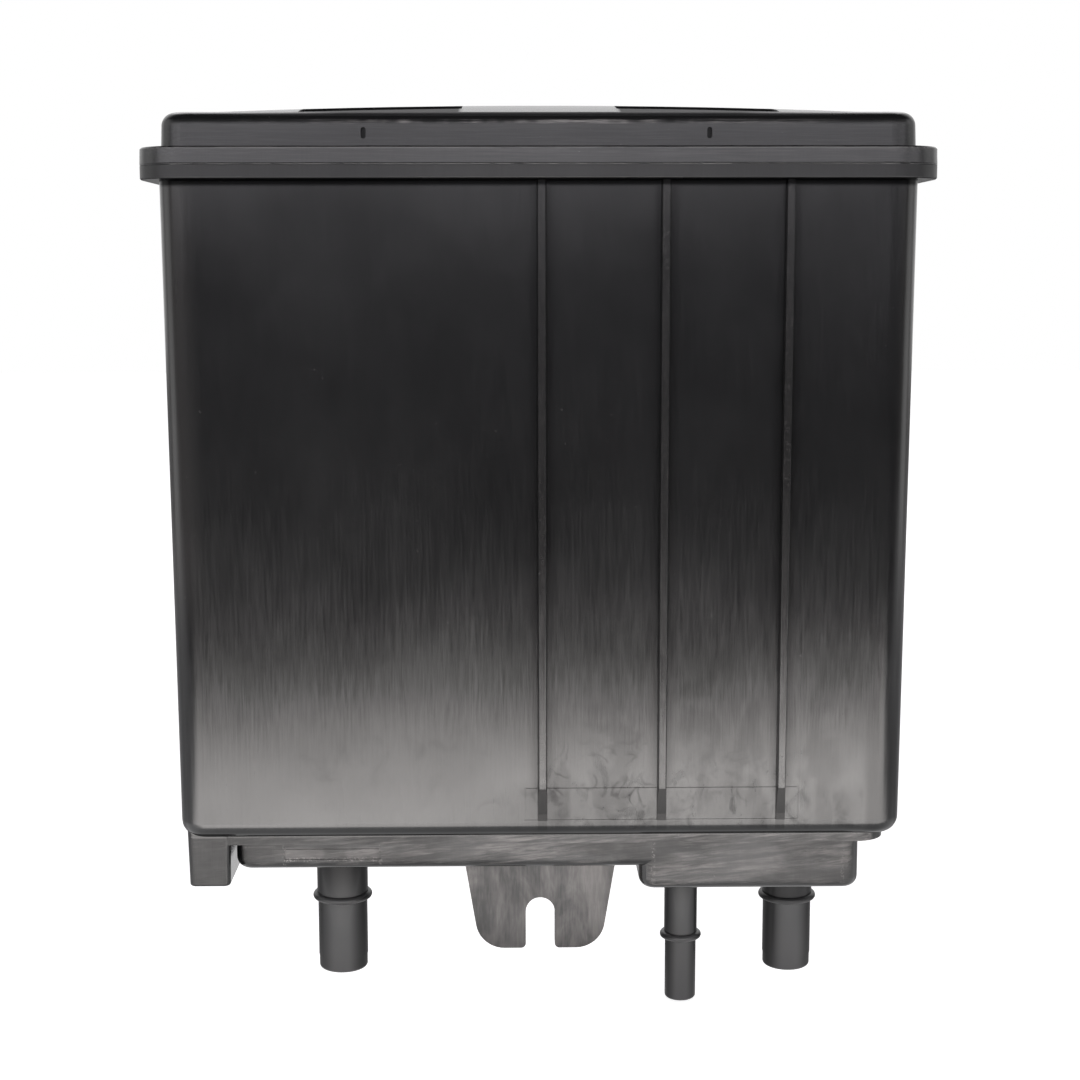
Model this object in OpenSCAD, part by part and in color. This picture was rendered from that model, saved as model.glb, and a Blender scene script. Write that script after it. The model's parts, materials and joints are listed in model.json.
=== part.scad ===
// Charcoal canister that stores fuel vapour: a deep moulded box with hose ports, a slotted tab and a post
// under its floor, closed by a welded end cover and filled with two sprung beds of activated carbon.
// Millimetres, +Z up, front towards -Y. The origin is the middle of the tab slot's round end.

/* [Body] */
// Width of the body just under the weld flange
body_w = 218.8; // [208:0.2:240]
// Depth of the body just under the weld flange
body_d = 100; // [94:0.5:120]
// Height of the body from its floor to the underside of the weld flange
body_h = 194; // [170:0.1:220]
// Thickness of the body and pan walls
wall_t = 3; // [2.4:0.1:3.6]
// Thickness of the body floor
floor_t = 3; // [2.6:0.1:4]
// Plan radius of the body corners at the floor
corner_r = 8; // [7:0.5:12]
// Narrowing of each side wall from the flange down to the floor
draft = 1.3; // [0.4:0.1:1.6]
// Radius of the edge round the floor
floor_edge_r = 5; // [3.5:0.5:6]

/* [Weld flange] */
// Overhang of the flange beyond the body wall
flange_out = 5.45; // [4:0.05:7]
// Thickness of the body's half of the flange
body_flange_t = 4.1; // [3.4:0.1:6]
// Thickness of the cover's half of the flange
cover_flange_t = 4.9; // [3.4:0.1:6]
// Chamfer of the flange's outer edges
flange_edge = 0.4; // [0.3:0.1:1.4]
// Narrowing of the cover's half of the flange towards its top
flange_draft = 0.15; // [0.05:0.05:0.3]
// Chamfer of each half along the weld line
weld_notch = 0.3; // [0.2:0.1:1]

/* [End cover] */
// Step from the body wall in to the cover skirt
cover_in = 0.8; // [0.2:0.1:1.5]
// Narrowing of the skirt from the flange up to its top edge
cover_draft = 0.25; // [0.1:0.05:0.5]
// Height of the skirt above the flange
cover_h = 10; // [8:0.1:14]
// Thickness of the cover walls
cover_t = 3; // [2.4:0.1:3.4]
// Radius of the cover's top edge
cover_edge_r = 3.8; // [2.5:0.1:5]
// Rise of the crowned top above the skirt
crown_h = 4.8; // [4:0.1:8]
// Fall of the crown from its middle to its left and right ends
crown_fall = 2.1; // [0.8:0.1:3]
// Length of the slopes that end the crown at the left and right
crown_ramp = 8; // [5:0.5:16]
// Flat border between the crown and the rounded top edge
crown_border = 1; // [0.6:0.1:2.5]
// Distance of each pocket's inner end from the middle of the cover
pocket_from_mid = 22.5; // [18:0.5:30]
// Width of each pocket in the crown
pocket_w = 47.5; // [36:0.5:60]
// Depth of each pocket, front to back
pocket_d = 17.5; // [12:0.5:24]
// Distance of the pockets from the cover's front and back faces
pocket_in = 14.5; // [12:0.5:18]
// Drop of the pocket floors below the top of the skirt
pocket_drop = 0.6; // [0.2:0.1:1.2]
// Plan radius of the pocket corners
pocket_r = 1.2; // [1:0.1:4]
// Width of the two dimples in the skirt's front
dimple_w = 1.4; // [1:0.1:2.5]
// Height of the dimples
dimple_h = 3.2; // [2.6:0.1:4.5]
// Depth of the dimples
dimple_depth = 1.4; // [0.4:0.1:1.8]
// Distance of the left dimple from the middle
dimple_left = 50.1; // [40:0.1:70]
// Distance of the right dimple from the middle
dimple_right = 48.2; // [40:0.1:70]
// Height of the dimples' middles above the flange
dimple_up = 3.9; // [2.4:0.1:4.5]

/* [Ribs] */
// Number of ribs on the front
rib_count = 3; // [1:1:3]
// Distance of the first rib to the right of the middle
rib_first = 0.4; // [-10:0.1:10]
// Spacing of the ribs
rib_pitch = 35.5; // [25:0.5:40]
// Width of a rib along its front
rib_w = 2.3; // [1.6:0.1:4]
// Widening of each side of a rib towards the wall
rib_draft = 0.3; // [0.1:0.05:0.6]
// Projection of a rib from the wall
rib_out = 2.6; // [1.6:0.1:3.5]
// Radius of a rib's front edges
rib_edge_r = 0.4; // [0.2:0.1:0.7]
// Projection of a rib at its lower end
rib_toe = 0.9; // [0.5:0.1:1.4]
// Height of the flat end of a rib
rib_pad = 2; // [1:0.5:4]
// Height above the floor where a rib starts to run out
rib_full_up = 16; // [12:0.5:30]
// Height above the floor where a rib ends
rib_end_up = 5.8; // [5.5:0.1:10]

/* [Plinth and pans] */
// Step from the body's sides in to the plinth
plinth_in = 3.8; // [3:0.1:5]
// Height of the plinth under the floor
plinth_h = 2.5; // [1.5:0.1:4]
// Plan radius of the plinth corners
plinth_corner_r = 9; // [6:0.5:14]
// Distance of the pans from the body's left side
pan_left_in = 15.8; // [14.8:0.1:26]
// Distance of the pans from the body's right side
pan_right_in = 11.3; // [9:0.1:20]
// Distance of the pans from the body's front and back
pan_front_in = 5.9; // [5.2:0.1:10]
// Drop of the shallow pan below the floor
shallow_pan_h = 11.1; // [9:0.1:14]
// Drop of the deep pan below the floor
deep_pan_h = 18.2; // [15:0.1:22]
// Width of the deep pan
deep_pan_w = 66.9; // [58:0.1:76]
// Plan radius of the pan corners
pan_corner_r = 5; // [4:0.5:8]
// Radius of the pans' lower edges
pan_edge_r = 3.3; // [2:0.1:3.8]

/* [Mounting tab] */
// Thickness of the tab
tab_t = 4; // [3:0.1:6]
// Width of the tab where it leaves the shallow pan
tab_root_w = 47.5; // [40:0.5:52]
// Width of the tab at its tip before its corners are rounded
tab_tip_w = 37.5; // [34:0.5:39.5]
// Length of the tab below the slot's round end
tab_below = 11.8; // [10:0.2:16]
// Radius of the tab's lower corners
tab_tip_r = 9; // [5:0.5:9.5]
// Width of the bolt slot
slot_w = 9; // [6.6:0.1:11]
// Radius of the slot's mouth corners
slot_mouth_r = 1.5; // [0.8:0.1:2]
// Height of the floor above the slot's round end
slot_to_floor = 29.4; // [27:0.1:40]
// Distance of the tab's middle plane behind the body's front at the flange
tab_setback = 23.5; // [16:0.5:36]

/* [Corner post] */
// Width of the post
post_w = 12.2; // [8:0.1:12.4]
// Depth of the post, front to back
post_d = 26; // [20:0.5:40]
// Drop of the post below the floor
post_h = 15.3; // [12:0.1:20]
// Step from the body's left side in to the post
post_left_in = 2.3; // [2:0.1:2.6]
// Step from the body's front in to the post
post_front_in = 3.4; // [3:0.1:6]
// Plan radius of the post's edges
post_corner_r = 2; // [1.2:0.1:3.5]
// Radius of the post's lower edge
post_edge_r = 0.8; // [0.4:0.1:1.1]
// Narrowing of each side of the post down to its foot
post_draft = 0.4; // [0:0.1:0.6]

/* [Hose ports] */
// Outside diameter of the two large ports
big_od = 16; // [13:0.1:17]
// Step in to a large port's lead-in, on the radius
big_lead_in = 0.15; // [0.05:0.05:0.5]
// Length of a large port's lead-in
big_lead = 4.6; // [3:0.1:6]
// Wall of a large port
big_port_t = 2; // [1.7:0.1:3]
// Step out to a large port's neck above the bead, on the radius
big_neck_out = 0.25; // [0.1:0.05:0.6]
// Projection of a large port's bead
big_bead_out = 1.6; // [1.2:0.1:3]
// Distance from a pan's underside to the middle of a large port's bead
big_neck = 22.4; // [14:0.1:30]
// Distance from the middle of a large port's bead to its tip
big_reach = 24.5; // [20:0.1:30]
// Outside diameter of the thin port
thin_od = 10.2; // [7.8:0.1:11]
// Wall of the thin port
thin_port_t = 1.65; // [1.5:0.05:2.2]
// Step out to the thin port's neck above the bead, on the radius
thin_neck_out = 0.3; // [0.1:0.05:0.6]
// Projection of the thin port's bead
thin_bead_out = 1.7; // [1.2:0.1:2.5]
// Distance from the deep pan's underside to the middle of the thin port's bead
thin_neck = 30.8; // [20:0.1:40]
// Distance from the middle of the thin port's bead to its tip
thin_reach = 21.7; // [16:0.1:26]
// Thickness of the beads
bead_t = 2.2; // [1:0.1:2.4]
// Radius of the port tips
tip_r = 1.1; // [0.5:0.1:1.3]
// Distance of the vent port from the pans' left side
vent_port_in = 28.2; // [14:0.1:40]
// Distance of the vent port behind the pans' front
vent_port_back = 45.5; // [30:0.5:58]
// Distance of the tank port from the deep pan's right side
tank_port_in = 12.6; // [11.5:0.1:20]
// Distance of the tank port behind the pans' front
tank_port_back = 63.5; // [40:0.5:68]
// Distance of the purge port from the deep pan's left side
purge_port_in = 17; // [11:0.1:24]
// Distance of the purge port behind the pans' front
purge_port_back = 48.5; // [20:0.5:60]

/* [Chambers] */
// Thickness of the partition between the chambers
partition_t = 3; // [2.4:0.1:4]
// Distance of the partition's top below the weld line
partition_drop = 13; // [9:0.5:18]
// Clearance round the grids and the pressure plates
plate_gap = 0.4; // [0.2:0.1:0.8]
// Clearance round the filter pads and the carbon beds
fill_gap = 0.2; // [0.1:0.1:0.5]
// Thickness of the support grids
grid_t = 3; // [2:0.1:5]
// Thickness of the filter pads
filter_t = 6; // [3:0.5:12]
// Thickness of the pressure plates
plate_t = 3; // [2:0.1:5]
// Width of the flow slots in the grids and the plates
flow_slot_w = 5; // [3:0.1:7]
// Width of the bars between the flow slots
flow_bar_w = 3; // [2:0.1:5]
// Width of the plain rim round the flow slots
flow_rim = 9; // [8:0.5:14]

/* [Springs] */
// Length of a spring as it is fitted
spring_h = 32; // [24:0.5:36]
// Outside diameter of a spring
spring_od = 20; // [15:0.5:24]
// Diameter of the spring wire
wire_d = 1.8; // [1.2:0.1:2.2]
// Number of open turns in a spring
spring_turns = 4; // [3:0.5:6]
// Distance of the springs from the ends of the wide chamber
spring_in_x = 33.5; // [22:0.5:40]
// Distance of the springs from the front and back walls
spring_in_y = 23; // [16:0.5:28]
// Height of the spring seats under the cover's roof
seat_h = 3; // [2:0.1:5]
// Rim of a spring seat beyond the spring
seat_rim = 1; // [0.5:0.1:2]
// Height of the pilots that hold the spring ends
pilot_h = 4; // [2:0.1:6]
// Wall of the pilots
pilot_t = 1.8; // [1.2:0.1:2.4]
// Clearance between a pilot and its spring
pilot_gap = 0.4; // [0.2:0.1:0.8]

/* [Mould marks] */
// Width of the witness lines left by the mould inserts
mark_w = 0.5; // [0.2:0.1:0.8]
// Depth of the witness lines
mark_depth = 0.25; // [0.1:0.05:0.4]
// Distance of the rib insert's line beyond the outer ribs
mark_side = 5.4; // [3:0.1:9]
// Distance of the port insert's line to the left of the vent port's middle
mark_left = 13.3; // [9:0.1:18]
// Distance of the port insert's line to the right of the vent port's middle
mark_right = 15.7; // [9:0.1:20]
// Distance of the port insert's line below the plinth
mark_edge = 1.6; // [1:0.1:2]

/* [Hidden] */
$fn = 64;

// Overlap of fused shapes and overshoot of cuts
over = 1;
// Sides of the spring wire and steps in one turn of a spring
wire_sides = 6;
turn_steps = 14;
// Share of a turn that lies flat at each end of a spring
flat_turn = 0.75;
// Segments of the crown's wide arcs
crown_fn = 256;

// Heights
floor_z = slot_to_floor;
floor_top = floor_z + floor_t;
flange_z = floor_z + body_h;
weld_z = flange_z + body_flange_t;
cover_flange_top = weld_z + cover_flange_t;
rim_z = cover_flange_top + cover_h;
roof_z = rim_z - cover_t;
shallow_z = floor_z - shallow_pan_h;
deep_z = floor_z - deep_pan_h;
partition_top = weld_z - partition_drop;

// Plan of the body at its floor
floor_half_x = body_w / 2 - draft;
floor_half_y = body_d / 2 - draft;
axis_x = floor_half_x - corner_r;
axis_y = floor_half_y - corner_r;
mid_y = body_d / 2 - tab_setback;
front_floor_y = mid_y - floor_half_y;

// Cover
skirt_r = corner_r + draft - cover_in;
flange_r = corner_r + draft + flange_out;
cover_half_x = body_w / 2 - cover_in;
cover_half_y = body_d / 2 - cover_in;
crown_half_x = cover_half_x - cover_draft - cover_edge_r - crown_border;
crown_half_y = cover_half_y - cover_draft - cover_edge_r - crown_border;
crown_rx = (crown_half_x * crown_half_x + crown_fall * crown_fall) / (2 * crown_fall);
crown_ry = (crown_half_y * crown_half_y + crown_h * crown_h) / (2 * crown_h);
crown_turn = 2 * asin((crown_half_y + crown_border / 2) / crown_ry);

// Pans
pan_left = pan_left_in - floor_half_x;
pan_right = floor_half_x - pan_right_in;
deep_left = pan_right - deep_pan_w;
pan_half_y = floor_half_y - pan_front_in;
pan_front_y = mid_y - pan_half_y;

// Ports
vent_port = [pan_left + vent_port_in, pan_front_y + vent_port_back];
tank_port = [pan_right - tank_port_in, pan_front_y + tank_port_back];
purge_port = [deep_left + purge_port_in, pan_front_y + purge_port_back];

// Chambers: left and right limits, and the stack between the floor and the springs
vent_x = [wall_t - floor_half_x, deep_left];
purge_x = [deep_left + partition_t, floor_half_x - wall_t];
grid_top = floor_top + grid_t;
bed_z = grid_top + filter_t;
seat_z = roof_z - seat_h;
plate_top = seat_z - spring_h;
plate_z = plate_top - plate_t;
bed_top = plate_z - filter_t;

// Springs
pilot_r = spring_od / 2 - wire_d - pilot_gap;
purge_mid_x = (purge_x[0] + purge_x[1]) / 2;
spring_half_y = floor_half_y - wall_t - spring_in_y;
vent_springs = [for (x = [vent_x[0] + spring_in_x, vent_x[1] - spring_in_x], sy = [-1, 1])
    [x, mid_y + sy * spring_half_y]];
purge_springs = [for (sy = [-1, 1]) [purge_mid_x, mid_y + sy * spring_half_y]];

// How far a wall stands out from the floor outline at height z
function lean(z) = draft * (z - floor_z) / body_h;

// A profile carried round a rectangle whose corners it turns about. The profile's x is the distance out
// from the corner axes, and its y is the height.
module carried(half_x, half_y, low, high) {
    for (k = [0 : 3]) {
        rotate(90 * k)
            translate(k % 2 == 0 ? [half_x, half_y, 0] : [half_y, half_x, 0]) {
                rotate_extrude(angle = 90)
                    children();
                rotate([90, 0, 0])
                    linear_extrude(k % 2 == 0 ? 2 * half_y : 2 * half_x)
                        children();
            }
    }
    translate([-half_x, -half_y, low])
        cube([2 * half_x, 2 * half_y, high - low]);
}

// A wall profile with a rounded lower edge, which leans out above that edge
module edge_profile(r, edge_r, low, high, out) {
    polygon([
        [0, low],
        [r - edge_r, low],
        [r - edge_r, low + edge_r],
        [r, low + edge_r],
        [r + out, high],
        [0, high]
    ]);
    translate([r - edge_r, low + edge_r])
        intersection() {
            circle(edge_r);
            translate([0, -edge_r])
                square(edge_r);
        }
}

// A block with rounded upright edges between two heights
module rounded_block(left, right, front, back, r, low, high) {
    translate([(left + right) / 2, (front + back) / 2, 0])
        carried((right - left) / 2 - r, (back - front) / 2 - r, low, high)
            translate([0, low])
                square([r, high - low]);
}

// A moulded tray with rounded upright edges and a rounded lower edge
module tray(left, right, front, back, r, edge_r, low, high, out) {
    translate([(left + right) / 2, (front + back) / 2, 0])
        carried((right - left) / 2 - r, (back - front) / 2 - r, low, high)
            edge_profile(r, edge_r, low, high, out);
}

// The outside of the body with its half of the flange
module body_outside() {
    translate([0, mid_y, 0])
        carried(axis_x, axis_y, floor_z, weld_z) {
            edge_profile(corner_r, floor_edge_r, floor_z, flange_z, draft);
            polygon([
                [0, flange_z],
                [flange_r - flange_edge, flange_z],
                [flange_r, flange_z + flange_edge],
                [flange_r, weld_z - weld_notch],
                [flange_r - weld_notch, weld_z],
                [0, weld_z]
            ]);
        }
}

// The drafted space inside the body walls, drawn in by a gap
module body_inside(gap, low, high) {
    translate([0, mid_y, 0])
        carried(axis_x, axis_y, low, high)
            polygon([
                [0, low],
                [corner_r - wall_t - gap + lean(low), low],
                [corner_r - wall_t - gap + lean(high), high],
                [0, high]
            ]);
}

// One chamber's share of the inside, between its side of the partition and the walls
module chamber(limits, gap, low, high) {
    vent_side = limits == vent_x;
    reach = body_w;
    cut_x = vent_side ? limits[1] - gap : limits[0] + gap - reach;
    difference() {
        body_inside(gap, low, high);
        translate([cut_x, mid_y - body_d, low - over])
            cube([reach, 2 * body_d, high - low + 2 * over]);
    }
}

// Two rows of flow slots centred in a chamber
module flow_slots(limits, low, high) {
    across = limits[1] - limits[0] - 2 * flow_rim;
    along = 2 * (floor_half_y - wall_t) - 2 * flow_rim;
    step = flow_slot_w + flow_bar_w;
    count = floor((across + flow_bar_w) / step);
    start = (limits[0] + limits[1] - count * step + flow_bar_w) / 2;
    length = (along - flow_bar_w) / 2;
    for (k = [0 : count - 1], sy = [-1, 1])
        translate([start + k * step, mid_y + sy * (length + flow_bar_w) / 2 - length / 2, low - over])
            cube([flow_slot_w, length, high - low + 2 * over]);
}

// The body's front wall at height z
function front_y(z) = front_floor_y - lean(z);

// A rib's section, with its root in the wall and its front towards -Y
module rib_section() {
    root = rib_w / 2 + rib_draft;
    side = rib_w / 2;
    front = rib_edge_r - rib_out;
    polygon([
        [-root, wall_t / 2],
        [-root, 0],
        [-side, front],
        [rib_edge_r - side, -rib_out],
        [side - rib_edge_r, -rib_out],
        [side, front],
        [root, 0],
        [root, wall_t / 2]
    ]);
    for (s = [-1, 1])
        translate([s * (side - rib_edge_r), front])
            circle(rib_edge_r);
}

// A rib that leans with the front wall, with its lower end run out to a small flat
module rib(x) {
    full_z = floor_z + rib_full_up;
    end_z = floor_z + rib_end_up;
    pad_z = end_z + rib_pad;
    top_z = flange_z + body_flange_t / 2;
    reach = rib_w + 2 * rib_draft + 2 * over;
    intersection() {
        translate([x, front_floor_y, floor_z])
            rotate([atan(draft / body_h), 0, 0])
                linear_extrude(body_h + body_flange_t)
                    rib_section();
        translate([x - reach / 2, 0, 0])
            rotate([90, 0, 90])
                linear_extrude(reach)
                    polygon([
                        [front_y(top_z) + wall_t, top_z],
                        [front_y(top_z) - rib_out - over, top_z],
                        [front_y(full_z) - rib_out - over, full_z],
                        [front_y(full_z) - rib_out, full_z],
                        [front_y(pad_z) - rib_toe, pad_z],
                        [front_y(end_z) - rib_toe, end_z],
                        [front_y(end_z) + wall_t, end_z]
                    ]);
    }
}

// A rectangular witness line cut into a front face
module witness(left, right, low, high, y) {
    translate([left, y + mark_depth, low])
        rotate([90, 0, 0])
            linear_extrude(mark_depth + over)
                difference() {
                    square([right - left, high - low]);
                    translate([mark_w, mark_w])
                        square([right - left - 2 * mark_w, high - low - 2 * mark_w]);
                }
}

// The outline of the mounting tab, with its slot open at the tip
module tab_outline() {
    root_z = shallow_z;
    tilt = atan((tab_root_w - tab_tip_w) / 2 / (root_z + tab_below));
    round_x = tab_tip_w / 2 - tab_tip_r * (1 - sin(tilt)) / cos(tilt);
    round_z = tab_tip_r - tab_below;
    difference() {
        union() {
            polygon([
                [-tab_root_w / 2, root_z + wall_t / 2],
                [-tab_root_w / 2, root_z],
                [-round_x - tab_tip_r * cos(tilt), round_z - tab_tip_r * sin(tilt)],
                [-round_x, round_z],
                [-round_x, -tab_below],
                [round_x, -tab_below],
                [round_x, round_z],
                [round_x + tab_tip_r * cos(tilt), round_z - tab_tip_r * sin(tilt)],
                [tab_root_w / 2, root_z],
                [tab_root_w / 2, root_z + wall_t / 2]
            ]);
            for (s = [-1, 1])
                translate([s * round_x, round_z])
                    circle(tab_tip_r);
        }
        circle(slot_w / 2);
        translate([-slot_w / 2, -tab_below - over])
            square([slot_w, tab_below + over]);
        for (s = [-1, 1])
            difference() {
                translate([s * (slot_w + slot_mouth_r) / 2 - slot_mouth_r / 2, -tab_below - over])
                    square([slot_mouth_r, slot_mouth_r + over]);
                translate([s * (slot_w / 2 + slot_mouth_r), slot_mouth_r - tab_below])
                    circle(slot_mouth_r);
            }
    }
}

// A bead on a port, with a round rim
module bead(z, r) {
    translate([0, z - bead_t / 2])
        square([r - bead_t / 2, bead_t]);
    translate([r - bead_t / 2, z])
        circle(bead_t / 2);
}

// The outside of a large port under a pan
module big_port(at, pan_z) {
    bead_z = pan_z - big_neck;
    tip_z = bead_z - big_reach;
    lead_z = tip_z + big_lead;
    translate([at[0], at[1], 0])
        rotate_extrude() {
            edge_profile(big_od / 2 - big_lead_in, tip_r, tip_z, lead_z, 0);
            translate([0, lead_z])
                square([big_od / 2, bead_z - lead_z]);
            translate([0, bead_z])
                square([big_od / 2 + big_neck_out, pan_z + wall_t / 2 - bead_z]);
            bead(bead_z, big_od / 2 + big_bead_out);
        }
}

// The outside of the thin port under the deep pan
module thin_port(at, pan_z) {
    bead_z = pan_z - thin_neck;
    tip_z = bead_z - thin_reach;
    translate([at[0], at[1], 0])
        rotate_extrude() {
            edge_profile(thin_od / 2, tip_r, tip_z, bead_z, 0);
            translate([0, bead_z])
                square([thin_od / 2 + thin_neck_out, pan_z + wall_t / 2 - bead_z]);
            bead(bead_z, thin_od / 2 + thin_bead_out);
        }
}

// A port's bore, from beyond its tip into its pan
module port_bore(at, r, tip_z, pan_z) {
    translate([at[0], at[1], tip_z - over])
        cylinder(r = r, h = pan_z + wall_t - tip_z + 2 * over);
}

// The two pans under the floor, the deep one standing down from the end of the shallow one
module pans() {
    front = mid_y - pan_half_y;
    back = mid_y + pan_half_y;
    top = floor_z + floor_t / 2;
    tray(pan_left, pan_right, front, back, pan_corner_r, pan_edge_r, shallow_z, top, 0);
    tray(deep_left, pan_right, front, back, pan_corner_r, pan_edge_r, deep_z, top, 0);
}

// The space in the pans, open to the chambers above
module pan_space() {
    front = mid_y - pan_half_y + wall_t;
    back = mid_y + pan_half_y - wall_t;
    r = pan_corner_r - wall_t;
    top = floor_top + over;
    rounded_block(pan_left + wall_t, deep_left, front, back, r, shallow_z + wall_t, top);
    rounded_block(deep_left + partition_t, pan_right - wall_t, front, back, r, deep_z + wall_t, top);
}

// The body with the lines that the mould inserts leave
module marked_body() {
    low = floor_z + rib_end_up;
    high = floor_z + rib_full_up;
    difference() {
        body_outside();
        witness(rib_first - mark_side, rib_first + (rib_count - 1) * rib_pitch + mark_side, low, high,
            front_y((low + high) / 2));
    }
}

module housing() {
    color([0.11, 0.11, 0.12])
        difference() {
            union() {
                marked_body();
                for (k = [0 : rib_count - 1])
                    rib(rib_first + k * rib_pitch);
                rounded_block(plinth_in - floor_half_x, floor_half_x - plinth_in, front_floor_y + plinth_in,
                    mid_y + floor_half_y - plinth_in, plinth_corner_r, floor_z - plinth_h,
                    floor_z + floor_t / 2);
                difference() {
                    pans();
                    witness(vent_port[0] - mark_left, vent_port[0] + mark_right, shallow_z + pan_edge_r,
                        floor_z - plinth_h - mark_edge, pan_front_y);
                }
                tray(post_left_in - floor_half_x, post_left_in - floor_half_x + post_w,
                    front_floor_y + post_front_in, front_floor_y + post_front_in + post_d, post_corner_r,
                    post_edge_r, floor_z - post_h, floor_top - over / 2, post_draft);
                translate([0, tab_t / 2, 0])
                    rotate([90, 0, 0])
                        linear_extrude(tab_t)
                            tab_outline();
                big_port(vent_port, shallow_z);
                big_port(tank_port, deep_z);
                thin_port(purge_port, deep_z);
            }
            difference() {
                body_inside(0, floor_top, weld_z + over);
                translate([deep_left, mid_y - body_d, floor_top - over])
                    cube([partition_t, 2 * body_d, partition_top - floor_top + over]);
            }
            pan_space();
            port_bore(vent_port, big_od / 2 - big_port_t, shallow_z - big_neck - big_reach, shallow_z);
            port_bore(tank_port, big_od / 2 - big_port_t, deep_z - big_neck - big_reach, deep_z);
            port_bore(purge_port, thin_od / 2 - thin_port_t, deep_z - thin_neck - thin_reach, deep_z);
        }
}

// The crown of the cover, curved both ways and sloped at its ends, drawn in by a wall
module crown(wall) {
    foot = crown_ry - crown_h - wall;
    low = foot - crown_h;
    half = crown_half_x + crown_border / 2;
    translate([0, mid_y, rim_z + crown_h - crown_ry])
        rotate([0, -90, 0])
            rotate(-crown_turn / 2)
                rotate_extrude(angle = crown_turn, $fn = crown_fn)
                    intersection() {
                        translate([crown_ry - crown_rx, 0])
                            circle(crown_rx - wall, $fn = crown_fn);
                        polygon([
                            [low, -half],
                            [foot, -half],
                            [foot + crown_h, crown_ramp - half],
                            [foot + crown_h, half - crown_ramp],
                            [foot, half],
                            [low, half]
                        ]);
                    }
}

// The four pockets in the crown, grown by a wall
module pockets(wall) {
    near = cover_half_y - pocket_in;
    for (sx = [-1, 1], sy = [-1, 1])
        translate([sx * (pocket_from_mid + pocket_w / 2), mid_y + sy * (near - pocket_d / 2), 0])
            rounded_block(-pocket_w / 2 - wall, pocket_w / 2 + wall, -pocket_d / 2 - wall,
                pocket_d / 2 + wall, pocket_r + wall, rim_z - pocket_drop - wall, rim_z + crown_h + over);
}

// A tube that stands up from a height
module tube(at, outer, inner, low, high) {
    translate([at[0], at[1], low])
        difference() {
            cylinder(r = outer, h = high - low);
            translate([0, 0, -over])
                cylinder(r = inner, h = high - low + 2 * over);
        }
}

// A dimple in the skirt's front
module dimple(x) {
    straight = dimple_h - dimple_w;
    translate([x, mid_y - cover_half_y + dimple_depth, cover_flange_top + dimple_up])
        rotate([90, 0, 0])
            linear_extrude(dimple_depth + over) {
                square([dimple_w, straight], center = true);
                for (s = [-1, 1])
                    translate([0, s * straight / 2])
                        circle(dimple_w / 2);
            }
}

module end_cover() {
    color([0.13, 0.13, 0.14])
        difference() {
            union() {
                translate([0, mid_y, 0])
                    carried(axis_x, axis_y, weld_z, rim_z) {
                        polygon([
                            [0, weld_z],
                            [flange_r - weld_notch, weld_z],
                            [flange_r, weld_z + weld_notch],
                            [flange_r - flange_draft, cover_flange_top - flange_edge],
                            [flange_r - flange_draft - flange_edge, cover_flange_top],
                            [0, cover_flange_top]
                        ]);
                        translate([0, cover_flange_top + rim_z])
                            mirror([0, 1])
                                edge_profile(skirt_r - cover_draft, cover_edge_r, cover_flange_top, rim_z,
                                    cover_draft);
                    }
                crown(0);
            }
            difference() {
                union() {
                    translate([0, mid_y, 0])
                        carried(axis_x, axis_y, weld_z - over, roof_z)
                            translate([0, weld_z - over])
                                square([skirt_r - cover_draft - cover_t, roof_z - weld_z + over]);
                    crown(cover_t);
                }
                pockets(cover_t);
                for (at = concat(vent_springs, purge_springs)) {
                    tube(at, spring_od / 2 + seat_rim, pilot_r - pilot_t, seat_z, rim_z + crown_h);
                    tube(at, pilot_r, pilot_r - pilot_t, seat_z - pilot_h, seat_z);
                }
            }
            pockets(0);
            dimple(-dimple_left);
            dimple(dimple_right);
        }
}

// A slotted grid on the floor ledge of a chamber
module support_grid(limits) {
    color([0.2, 0.2, 0.21])
        difference() {
            chamber(limits, plate_gap, floor_top, grid_top);
            flow_slots(limits, floor_top, grid_top);
        }
}

module vent_support_grid() {
    support_grid(vent_x);
}

module purge_support_grid() {
    support_grid(purge_x);
}

module vent_port_filter() {
    color([0.75, 0.73, 0.66])
        chamber(vent_x, fill_gap, grid_top, bed_z);
}

module purge_port_filter() {
    color([0.75, 0.73, 0.66])
        chamber(purge_x, fill_gap, grid_top, bed_z);
}

module vent_carbon_bed() {
    color([0.05, 0.05, 0.05])
        chamber(vent_x, fill_gap, bed_z, bed_top);
}

module purge_carbon_bed() {
    color([0.05, 0.05, 0.05])
        chamber(purge_x, fill_gap, bed_z, bed_top);
}

module vent_cover_filter() {
    color([0.75, 0.73, 0.66])
        chamber(vent_x, fill_gap, bed_top, plate_z);
}

module purge_cover_filter() {
    color([0.75, 0.73, 0.66])
        chamber(purge_x, fill_gap, bed_top, plate_z);
}

// A slotted plate that presses on a bed, with a pilot for each spring
module pressure_plate(limits, springs) {
    color([0.2, 0.2, 0.21]) {
        difference() {
            chamber(limits, plate_gap, plate_z, plate_top);
            flow_slots(limits, plate_z, plate_top);
        }
        for (at = springs)
            tube(at, pilot_r, pilot_r - pilot_t, plate_z, plate_top + pilot_h);
    }
}

module vent_pressure_plate() {
    pressure_plate(vent_x, vent_springs);
}

module purge_pressure_plate() {
    pressure_plate(purge_x, purge_springs);
}

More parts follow.
